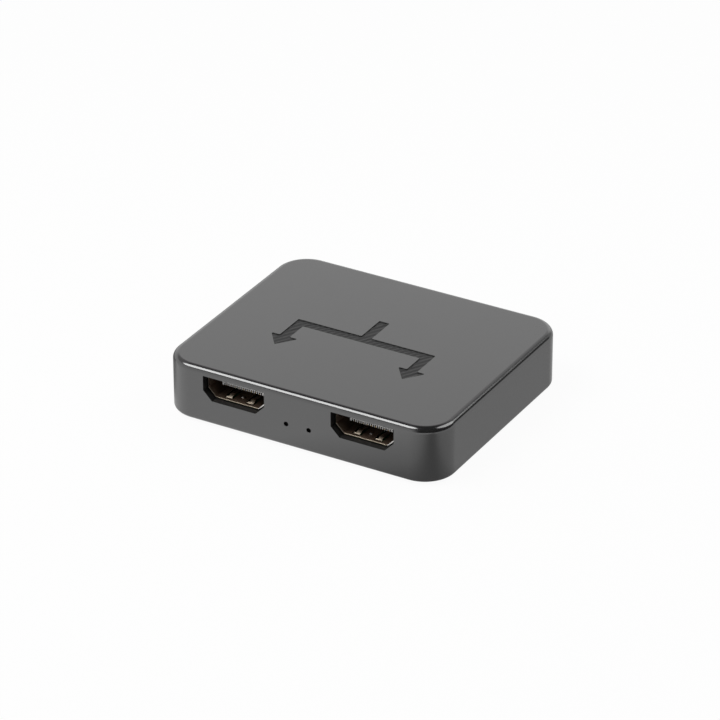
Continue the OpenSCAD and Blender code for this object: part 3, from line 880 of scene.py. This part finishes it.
def bottom_cover():
    """The plate with its posts, screw seats and foot seats."""
    inset = RIM_T + COVER_GAP
    edge = PLATE_EDGE
    eased = PLATE_EDGE * PLATE_EDGE_SHARE
    plate = loft("case_bottom_cover", [
        case_ring(inset + edge, base_low.z), case_ring(inset + eased, base_low.z + eased),
        case_ring(inset, base_low.z + edge), case_ring(inset, ledge)], finish["base"])
    seat = SCREW_HEAD_D / 2 + SCREW_GAP
    bore = SCREW_D / 2 + SCREW_GAP
    posts = []
    cutters = []
    for x, y in four_screws:
        posts.append(round_column(x, y, [
            (POST_D / 2, base_low.z + BASE_T / 2), (POST_D / 2, base_high.z - POST_EDGE),
            (POST_D / 2 - POST_EDGE, base_high.z)], finish["base"]))
        cutters.append(round_column(x, y, [
            (seat + SEAT_FLARE, base_low.z - CUT_CLEAR), (seat, base_low.z + SEAT_LIP),
            (seat, base_low.z + SCREW_HEAD_H), (bore, base_low.z + SCREW_HEAD_H),
            (bore, base_high.z + CUT_BEYOND)], finish["base"]))
    for x, y in four_feet:
        cutters.append(round_column(x, y, [
            (foot_r + FOOT_SEAT_FLARE, base_low.z - CUT_CLEAR), (foot_r, base_low.z + FOOT_SEAT_LIP),
            (foot_r, base_low.z + FOOT_SUNK)], finish["base"], FINE_ROUND_STEPS))
    carve(plate, posts, "UNION")
    carve(plate, cutters)
    return stands_for(smooth_faces(plate), "case_plastic", "bottom_cover")


# Sockets


def turn_to(mouth, piece, floor):
    """Moves a socket's piece from its own frame, mouth at the origin, to its place in a wall."""
    return shift(piece, mouth.x, mouth.y, floor, math.pi if mouth.y > 0 else 0.0)


def sheet_tube(width, height, cut, bend, thickness, length, metal):
    """A tube of bent sheet metal with a flared mouth at depth 0.

    Its inside is painted darker and browner as the shade inside the socket, and its lip's sides are
    painted near-black as shade. The lip at one slanted lower corner is painted near-white as a highlight.
    """
    flare = thickness * SHEET_FLARE
    lip = thickness * SHEET_LIP
    turns = [math.radians(angle) for angle in (0, 30, 60, 90)]
    path = [(length, 0.0), (LEAD_IN, 0.0)]
    path += [(lip * (1 - math.sin(turn)), flare + lip * (1 - math.cos(turn))) for turn in turns]
    path += [(lip * (1 - math.cos(turn)), thickness - lip * (1 - math.sin(turn))) for turn in turns]
    path.append((length, thickness))
    rings = []
    for depth, growth in path:
        outline = socket_outline(width, height, cut, growth)
        rings.append(upright(rounded(outline, bend + growth, SHEET_BEND_STEPS), depth))
    tube = loft("sheet_tube", rings, metal, loop=True)
    for key in ("inside", "edge", "painted_highlight"):
        tube.data.materials.append(finish[key])
    # Inside faces: painted shade. Lip sides above the cut corners: painted near-black shade. Lip at one
    # lower corner: painted highlight.
    for face in tube.data.polygons:
        x, y, z = face.center / MM
        if face.index < 2 * len(rings[0]):
            face.material_index = 1
        elif y < LEAD_IN and z > cut:
            face.material_index = 2
        elif y < LEAD_IN and x > width / 2 - cut:
            face.material_index = 3
    return tube


def spring_tab(x, base, inwards, rise):
    """A bowed strip that springs out of the sheet at height base into the opening.

    Its tip is a lip of the full width, and the bow behind it is notched on one side. Behind its peak it is
    painted darker as shade.
    """
    lip_end = TAB_TIP + TAB_LIP
    bow = lip_end + TAB_EASE
    stations = [(TAB_TIP, 0.0), (lip_end, 0.0)]
    for step in range(TAB_STEPS + 1):
        stations.append((bow + (TAB_ROOT + LEG_PROUD - bow) * step / TAB_STEPS, TAB_NOTCH))
    rings = []
    for y, notch in stations:
        if y < TAB_PEAK:
            lift = rise * (1 - ((TAB_PEAK - y) / (TAB_PEAK - TAB_TIP)) ** TAB_BOW)
        else:
            lift = rise * (1 + math.cos(math.pi * min(1, (y - TAB_PEAK) / (TAB_ROOT - TAB_PEAK)))) / 2
        heights = sorted((base + inwards * lift, base + inwards * (lift - TAB_T)))
        strip = rectangle(x - TAB_W / 2 + notch, heights[0], x + TAB_W / 2, heights[1])
        rings.append(upright(rounded(strip, TAB_EDGE, TAB_EDGE_STEPS), y))
    tab = loft("spring_tab", rings, finish["tab"])
    # Behind the peak the tab takes the darker inside finish, painted as shade
    tab.data.materials.append(finish["inside"])
    for face in tab.data.polygons:
        face.material_index = int(face.center.y > TAB_PEAK * MM)
    return tab


def seam_clinch():
    """The dovetail that locks the shell's seam, standing a little proud of its floor."""
    front = CLINCH_Y - CLINCH_L / 2
    back = CLINCH_Y + CLINCH_L / 2
    dovetail = [
        (CLINCH_X - CLINCH_NARROW / 2, front), (CLINCH_X + CLINCH_NARROW / 2, front),
        (CLINCH_X + CLINCH_WIDE / 2, back), (CLINCH_X - CLINCH_WIDE / 2, back)]
    heights = ((-LEG_PROUD, 0.0), (CLINCH_H / 2, 0.0), (CLINCH_H, -CLINCH_H / 2))
    rings = [level(rounded(grown(dovetail, growth), CLINCH_CORNER), z) for z, growth in heights]
    # The clinch takes the near-white lip finish, painted as a small highlight
    return loft("seam_clinch", rings, finish["painted_highlight"])


def board_legs(half_width, thickness, starts, length, top, floor, metal):
    """Flat legs down both sides of a shell, tapered under the board. Heights count from the floor."""
    shoulder = board_low.z - floor
    foot = shoulder - LEG_BELOW
    legs = []
    for side in (-1, 1):
        for y in starts:
            end = y + length
            view = [
                (y, top), (y, shoulder), (y + LEG_TAPER, foot), (end - LEG_TAPER, foot),
                (end, shoulder), (end, top)]
            inner = half_width + LEG_PROUD
            rings = [[(side * x, *point) for point in view] for x in (inner, inner + thickness)]
            legs.append(loft("leg", rings, metal))
    return legs


def video_shell(name, node, mouth):
    """The bent shell of a video socket: four windows with spring tabs, a clinched seam and four legs."""
    metal = finish["plating"]
    shell = sheet_tube(socket_w, SOCKET_H, SOCKET_CUT, SHELL_BEND, SHELL_T, SHELL_L, metal)
    windows = []
    tabs = []
    reach = TAB_W / 2 + TAB_WINDOW
    for x in (-TAB_X, TAB_X):
        hole = rounded(rectangle(x - reach, TAB_TIP - TAB_WINDOW, x + reach, TAB_ROOT), TAB_WINDOW / 2)
        for base, inwards, rise in ((0.0, 1, LOW_TAB_RISE), (SOCKET_H, -1, HIGH_TAB_RISE)):
            ends = (base - 2 * SHELL_T, base + 2 * SHELL_T)
            windows.append(loft("window", [level(hole, z) for z in ends], metal))
            tabs.append(spring_tab(x, base, inwards, rise))
    carve(shell, windows)
    legs = board_legs(socket_w / 2, SHELL_T, LEG_STARTS, LEG_L, SOCKET_H / 2, socket_floor, metal)
    whole = turn_to(mouth, joined(name, [shell, seam_clinch()] + tabs + legs), socket_floor)
    return stands_for(smooth_faces(whole), "shell_plating", node)


def copied(name, node, material):
    """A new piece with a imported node's shape, its doubled points welded and its flat faces whole."""
    shape = bmesh.new()
    shape.from_mesh(frame["nodes"][node].data)
    bmesh.ops.remove_doubles(shape, verts=shape.verts, dist=WELD * MM)
    flat = math.radians(FLAT_ANGLE)
    bmesh.ops.dissolve_limit(shape, angle_limit=flat, verts=shape.verts, edges=shape.edges)
    mesh = bpy.data.meshes.new(name)
    shape.to_mesh(mesh)
    shape.free()
    mesh.materials.clear()
    mesh.materials.append(material)
    return placed(name, mesh)


def video_insulator(name, node, mouth):
    """The block and tongue of a video socket, with a comb of slots in the tongue's lower front edge."""
    piece = copied(name, node, finish["socket"])
    slots = []
    for number in range(COMB_SLOTS):
        x = (number - (COMB_SLOTS - 1) / 2) * COMB_PITCH
        slot = rectangle(
            x - COMB_SLOT_W / 2, TONGUE_BACK - COMB_SLOT_D,
            x + COMB_SLOT_W / 2, TONGUE_BACK + COMB_SLOT_D)
        ends = (TONGUE_LOW - COMB_SLOT_H, TONGUE_LOW + COMB_SLOT_H)
        slots.append(loft("slot", [level(slot, z) for z in ends], finish["socket"]))
    carve(piece, [turn_to(mouth, joined("comb", slots), socket_floor)])
    # Faces near the mouth take the grey tongue finish; the deeper faces keep the near-black finish,
    # painted as shade
    piece.data.materials.append(finish["tongue"])
    for face in piece.data.polygons:
        if abs(face.center.y / MM - mouth.y) < TONGUE_BACK + WELD:
            face.material_index = len(piece.data.materials) - 1
    break_edges(piece, COMB_EDGE)
    return stands_for(smooth_faces(piece), "socket_plastic", node)


def power_shell():
    """The bent shell of the power socket, with its two legs."""
    metal = finish["nickel"]
    tube = sheet_tube(USB_W, USB_H, USB_CUT, USB_BEND, USB_T, USB_L, metal)
    legs = board_legs(USB_W / 2, USB_T, (USB_LEG_START,), USB_LEG_L, USB_H - USB_T, usb_floor, metal)
    whole = turn_to(mouths["power"], joined("power_socket_shell", [tube] + legs), usb_floor)
    return stands_for(smooth_faces(whole), "power_shell_steel", "usb_power_shell")


# Screws and feet


def case_screws():
    """Four screws with low domed heads and a tapered cross recess."""
    head = base_low.z
    seat = head + SCREW_HEAD_H
    radius = SCREW_HEAD_D / 2
    profile = [(radius * SCREW_HEAD_FLAT, head)]
    profile += turned_edge(
        radius, SCREW_DOME, head + SCREW_DOME, SCREW_DOME, -90, SCREW_EDGE_ENDS, SCREW_EDGE_STEPS)
    profile += [
        (radius, seat - SCREW_DOME), (radius - SCREW_DOME / 2, seat), (SCREW_D / 2, seat),
        (SCREW_D / 2, screw_high.z - SCREW_POINT_L), (SCREW_POINT_R, screw_high.z)]
    arm = []
    for share, depth in ((CROSS_FLARE, -CUT_CLEAR), (1.0, 0.0), (CROSS_TAPER, CROSS_DEPTH)):
        long = CROSS_L / 2 * share
        wide = CROSS_W / 2 * share
        arm.append(level(rectangle(-long, -wide, long, wide), head + depth))
    screws = []
    for x, y in four_screws:
        screw = round_column(x, y, profile, finish["zinc"])
        turns = (0.0, math.pi / 2)
        arms = [shift(loft("arm", arm, finish["zinc"]), x, y, 0.0, turn) for turn in turns]
        screws.append(carve(screw, arms))
    return stands_for(smooth_faces(joined("case_screw_set", screws)), "screw_steel", "case_screws")


def rubber_feet():
    """Four round feet with a soft edge and a shallow dish round their middle."""
    profile = [
        (foot_r * DISH_MIDDLE, FOOT_DISH), (foot_r * DISH_FLOOR, FOOT_DISH),
        (foot_r * DISH_RIM, foot_low.z)]
    profile += turned_edge(
        foot_r, FOOT_EDGE, foot_low.z + FOOT_EDGE, FOOT_EDGE, -90, 0, FOOT_EDGE_STEPS)
    profile.append((foot_r, foot_high.z))
    feet = [round_column(x, y, profile, finish["rubber"], FINE_ROUND_STEPS) for x, y in four_feet]
    return stands_for(smooth_faces(joined("rubber_foot_set", feet)), "foot_rubber", "rubber_feet")


# Parts on the board


def solids(node):
    """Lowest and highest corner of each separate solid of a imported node, in millimetres."""
    shape = bmesh.new()
    shape.from_mesh(frame["nodes"][node].data)
    bmesh.ops.remove_doubles(shape, verts=shape.verts, dist=WELD * MM)
    waiting = set(shape.verts)
    boxes = []
    while waiting:
        found = [waiting.pop()]
        for vert in found:
            for edge in vert.link_edges:
                other = edge.other_vert(vert)
                if other in waiting:
                    waiting.remove(other)
                    found.append(other)
        points = [vert.co / MM for vert in found]
        ends = []
        for end in (min, max):
            ends.append(tuple(end(point[axis] for point in points) for axis in range(3)))
        boxes.append(tuple(ends))
    shape.free()
    return sorted(boxes)


def block(low, high, edge, material):
    """A box with rounded edges, from its lowest to its highest corner."""
    rings = []
    section = quarter(edge, low[2] + edge, edge, -90, 0, BLOCK_STEPS)
    section += quarter(edge, high[2] - edge, edge, 0, 90, BLOCK_STEPS)
    for inset, height in section:
        plan = rectangle(low[0] + inset, low[1] + inset, high[0] - inset, high[1] - inset)
        rings.append(level(rounded(plan, edge, BLOCK_STEPS), height))
    return loft("block", rings, material)


def end_capped(name, node, slot, body, top):
    """Small parts with tinned end caps: a body of one material and a coat of another on its top."""
    pieces = []
    for low, high in solids(node):
        along = 0 if high[0] - low[0] > high[1] - low[1] else 1
        cap = (high[along] - low[along]) * CAP_SHARE
        inner_low = [low[0] + CAP_PROUD, low[1] + CAP_PROUD, low[2] + CAP_PROUD]
        inner_high = [high[0] - CAP_PROUD, high[1] - CAP_PROUD, high[2] - 2 * CAP_PROUD]
        pieces.append(block(inner_low, inner_high, CAP_EDGE, body))
        coat_low = list(inner_low)
        coat_high = list(inner_high)
        coat_low[along] = low[along] + cap * COAT_STARTS
        coat_high[along] = high[along] - cap * COAT_STARTS
        coat_low[2] = inner_high[2] - 2 * CAP_PROUD
        coat_high[2] = high[2] - CAP_PROUD
        pieces.append(block(coat_low, coat_high, COAT_EDGE, top))
        left = list(high)
        left[along] = low[along] + cap
        right = list(low)
        right[along] = high[along] - cap
        pieces.append(block(low, left, CAP_EDGE, finish["tin"]))
        pieces.append(block(right, high, CAP_EDGE, finish["tin"]))
    return stands_for(smooth_faces(joined(name, pieces)), slot, node)


def bulk_capacitor_can():
    """A turned can with a crimped groove over its base and a rounded top."""
    low, high = span("bulk_capacitor_can")
    radius = (high.x - low.x) / 2
    groove = low.z + (high.z - low.z) * GROOVE_AT
    waist = radius - GROOVE_DEPTH
    profile = [
        (waist, low.z), (radius, low.z + GROOVE_DEPTH), (radius, groove - GROOVE_HALF),
        (waist, groove - GROOVE_HALF / 3), (waist, groove + GROOVE_HALF / 3),
        (radius, groove + GROOVE_HALF)]
    profile += turned_edge(radius, CAN_EDGE, high.z - CAN_EDGE, CAN_EDGE, 0, 90, CAN_EDGE_STEPS)
    middle = (low + high) / 2
    can = round_column(middle.x, middle.y, profile, finish["can"], FINE_ROUND_STEPS)
    can.name = "capacitor_can"
    return stands_for(smooth_faces(can, CAN_SHARP_ANGLE), "can_metal", "bulk_capacitor_can")


def dress(node, key, edge):
    """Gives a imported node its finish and, where it still shows, broken edges."""
    piece = frame["nodes"][node]
    for place in piece.material_slots:
        place.material = finish[key]
    if node not in replaced:
        break_edges(piece, edge)


top_cover()
bottom_cover()
case_screws()
rubber_feet()
for mount, prefix in VIDEO_NODES.items():
    video_shell(mount + "_shell", prefix + "_shell", mouths[mount])
    video_insulator(mount + "_insulator", prefix + "_insulator", mouths[mount])
power_shell()
bulk_capacitor_can()
end_capped(
    "ceramic_capacitor_set", "ceramic_capacitors", "capacitor_ceramic",
    finish["ceramic"], finish["ceramic"])
end_capped("resistor_set", "resistors", "chip_epoxy", finish["substrate"], finish["glaze"])
end_capped("surge_protector_set", "surge_protectors", "chip_epoxy", finish["epoxy"], finish["epoxy"])
for part in frame["record"]["subparts"]:
    dress(part["node"], *SLOT_FINISH[part["material_slot"]])


# Camera and studio

CAMERA_AZIMUTH = math.radians(29.908)
CAMERA_ELEVATION = math.radians(28.804)
CAMERA_ROLL = math.radians(-0.131)
CAMERA_DISTANCE = 892.88
CAMERA_TARGET = Vector((-2.112, 1.962, 7.1))
CAMERA_LENS = 207.71
CAMERA_SENSOR = 36
CAMERA_NEAR = 0.01
CAMERA_FAR = 50

# The floor, and its image in the case: levels, and places in millimetres where they fade
WHITE = (1.0, 1.0, 1.0, 1.0)
FLOOR_PAINT = (0.82, 0.82, 0.82, 1.0)
FLOOR_HALF = 4000
FLOOR_WHITE = 0.95
FLAG_LEVEL = 0.34
SIDE_LEVEL = 0.26
FRONT_LEVEL = 0.41
OUTER_LEVEL = 0.2
FLAG_TURN = math.radians(54)
FLAG_OFFSET = -3.3
FLAG_CORE = 1
FLAG_REACH = 13
FRONT_STARTS = 9
FRONT_FULL = 27
SIDE_STARTS = -30
SIDE_FULL = -18
LEFT_STARTS = -34
LEFT_FULL = -40
OUTER_STARTS = 42
OUTER_FULL = 75
FLOOR_DROP = 0.02

# The walls round the object: levels, and parts of a unit vector from it between which they fade
AMBIENT_LEVEL = 0.05
WALL_LEVEL = 0.86
WALL_STEP = 0.55
BACK_LEVEL = 0.27
LEFT_WALL_FADE = (-0.3, 0.2)
BEHIND_FADE = (0.3, 0.6)
BEHIND_DIMS = (-0.05, 0.2)
BEHIND_DIMMED = 0.75
BEHIND_ENDS = (0.45, 0.52)
WALL_STEP_FADE = (0.42, 0.54)
WALL_TOP_FADE = (0.72, 0.88)
RIGHT_FADE = (0.42, 0.52)
GAP_FLOOR_FADE = (0.1, 0.18)
GAP_TOP_FADE = (0.38, 0.46)
LOW_GLOW_FADE = (0.06, 0.14)
LOW_GLOW = 1.4
BACK_FADE = (0.5, 0.75)
BACK_TOP_FADE = (0.6, 0.75)

# Softboxes: where they stand, their width and height in millimetres, and their brightness
SOFTBOX_DISTANCE = 600
OVERHEAD_TOWARD = (-0.44, -0.37, 0.82)
OVERHEAD_SIZE = (476, 316)
OVERHEAD_LEVEL = 5.7
SIDE_BOX_TOWARD = (0.556, 0.392, 0.733)
SIDE_BOX_SIZE = (356, 540)
SIDE_BOX_LEVEL = 2.8


def direction(azimuth, elevation):
    """A unit vector from the object: azimuth 0 is the front, and turns towards the right."""
    flat = math.cos(elevation)
    return Vector((math.sin(azimuth) * flat, -math.cos(azimuth) * flat, math.sin(elevation)))


def set_camera():
    """The camera at the photograph's view."""
    back = direction(CAMERA_AZIMUTH, CAMERA_ELEVATION)
    right = Vector((math.cos(CAMERA_AZIMUTH), math.sin(CAMERA_AZIMUTH), 0))
    up = back.cross(right)
    rolled_right = right * math.cos(CAMERA_ROLL) + up * math.sin(CAMERA_ROLL)
    rolled_up = up * math.cos(CAMERA_ROLL) - right * math.sin(CAMERA_ROLL)
    lens = bpy.data.cameras.new("camera")
    lens.lens = CAMERA_LENS
    lens.sensor_width = CAMERA_SENSOR
    lens.clip_start = CAMERA_NEAR
    lens.clip_end = CAMERA_FAR
    camera = placed("camera", lens)
    turn = Matrix((rolled_right, rolled_up, back)).transposed().to_4x4()
    place = (CAMERA_TARGET + back * CAMERA_DISTANCE) * MM
    camera.matrix_world = Matrix.Translation(place) @ turn
    bpy.context.scene.camera = camera


def set_floor():
    """A plain pale floor. Seen directly it is nearly white and keeps a faint shadow of the object.

    Its mirror image in the case is brightest in front, dimmer at the sides, and darkest along a band
    that runs away from the front right corner, as under a dark flag there.
    """
    material, place = new_material("pale_floor")
    across = place.part("X")
    along = place.part("Y")
    from_band = across * math.cos(FLAG_TURN) + along * math.sin(FLAG_TURN) - FLAG_OFFSET * MM
    off_band = place.math("ABSOLUTE", from_band).smooth(FLAG_CORE * MM, FLAG_REACH * MM)
    in_front = place.node("MapRange", {
        "Value": 0 - from_band, "From Min": FRONT_STARTS * MM, "From Max": FRONT_FULL * MM})
    beside = along.smooth(SIDE_STARTS * MM, SIDE_FULL * MM)
    outside = across.smooth(OUTER_STARTS * MM, OUTER_FULL * MM)
    at_left = (1 - across.smooth(LEFT_FULL * MM, LEFT_STARTS * MM)) * beside
    lit = FLAG_LEVEL + off_band * (1 - at_left) * SIDE_LEVEL + outside * OUTER_LEVEL
    lit += in_front * (1 - beside) * FRONT_LEVEL
    direct = place.node("LightPath", output="Is Camera Ray")
    mirrored = place.node("LightPath", output="Is Glossy Ray")
    grey = mirrored.mix(WHITE, lit.node("CombineColor", {0: lit, 1: lit, 2: lit}))
    paint = place.node("BsdfDiffuse", {"Color": FLOOR_PAINT})
    glow = place.node("Emission", {"Color": grey, "Strength": 1.0})
    mixed = place.node("MixShader", {0: direct * FLOOR_WHITE + mirrored, 1: paint, 2: glow})
    place.node("OutputMaterial", {"Surface": mixed})
    sheet = rectangle(-FLOOR_HALF, -FLOOR_HALF, FLOOR_HALF, FLOOR_HALF)
    floor = make_piece("floor", level(sheet, -FLOOR_DROP), [(0, 1, 2, 3)], material)


def set_world():
    """White to the camera. For the object: low pale walls round it, highest at the left, dim above."""
    world = bpy.data.worlds.new("studio")
    bpy.context.scene.world = world
    world.use_nodes = True
    world.node_tree.nodes.clear()
    toward = Wire(world.node_tree).node("TexCoord", output="Generated")
    x, y, z = (toward.part(axis) for axis in "XYZ")
    left = 1 - x.smooth(*LEFT_WALL_FADE)
    behind = y.smooth(*BEHIND_FADE) * (1 - x.smooth(*BEHIND_DIMS) * BEHIND_DIMMED)
    behind *= 1 - x.smooth(*BEHIND_ENDS)
    wall = toward.math("MAXIMUM", left, behind) * (1 - z.smooth(*WALL_STEP_FADE) * WALL_STEP)
    wall *= 1 - z.smooth(*WALL_TOP_FADE)
    at_right = x.smooth(*RIGHT_FADE)
    gap = at_right * z.smooth(*GAP_FLOOR_FADE) * (1 - z.smooth(*GAP_TOP_FADE))
    low = at_right * (1 - z.smooth(*LOW_GLOW_FADE))
    back_wall = y.smooth(*BACK_FADE) * (1 - gap + low * LOW_GLOW) * (1 - z.smooth(*BACK_TOP_FADE))
    glow = AMBIENT_LEVEL + wall * WALL_LEVEL + back_wall * BACK_LEVEL
    seen = toward.node("LightPath", output="Is Camera Ray")
    strength = glow * (1 - seen) + seen
    light = toward.node("Background", {"Color": WHITE, "Strength": strength})
    toward.node("OutputWorld", {"Surface": light})


def softbox(name, toward, size, brightness):
    """A soft oval lamp in a direction from the object, facing it."""
    lamp = bpy.data.lights.new(name, "AREA")
    lamp.shape = "ELLIPSE"
    lamp.size = size[0] * MM
    lamp.size_y = size[1] * MM
    area = math.pi / 4 * lamp.size * lamp.size_y
    lamp.energy = brightness * math.pi * area
    holder = placed(name, lamp)
    away = Vector(toward).normalized()
    sideways = Vector((1, 0, 0))
    across = (sideways - away * sideways.dot(away)).normalized()
    turn = Matrix((across, away.cross(across), away)).transposed().to_4x4()
    holder.matrix_world = Matrix.Translation(away * SOFTBOX_DISTANCE * MM) @ turn
    holder.visible_camera = False


set_camera()
set_floor()
set_world()
softbox("overhead_softbox", OVERHEAD_TOWARD, OVERHEAD_SIZE, OVERHEAD_LEVEL)
softbox("side_softbox", SIDE_BOX_TOWARD, SIDE_BOX_SIZE, SIDE_BOX_LEVEL)
bpy.context.scene.view_settings.view_transform = "Standard"
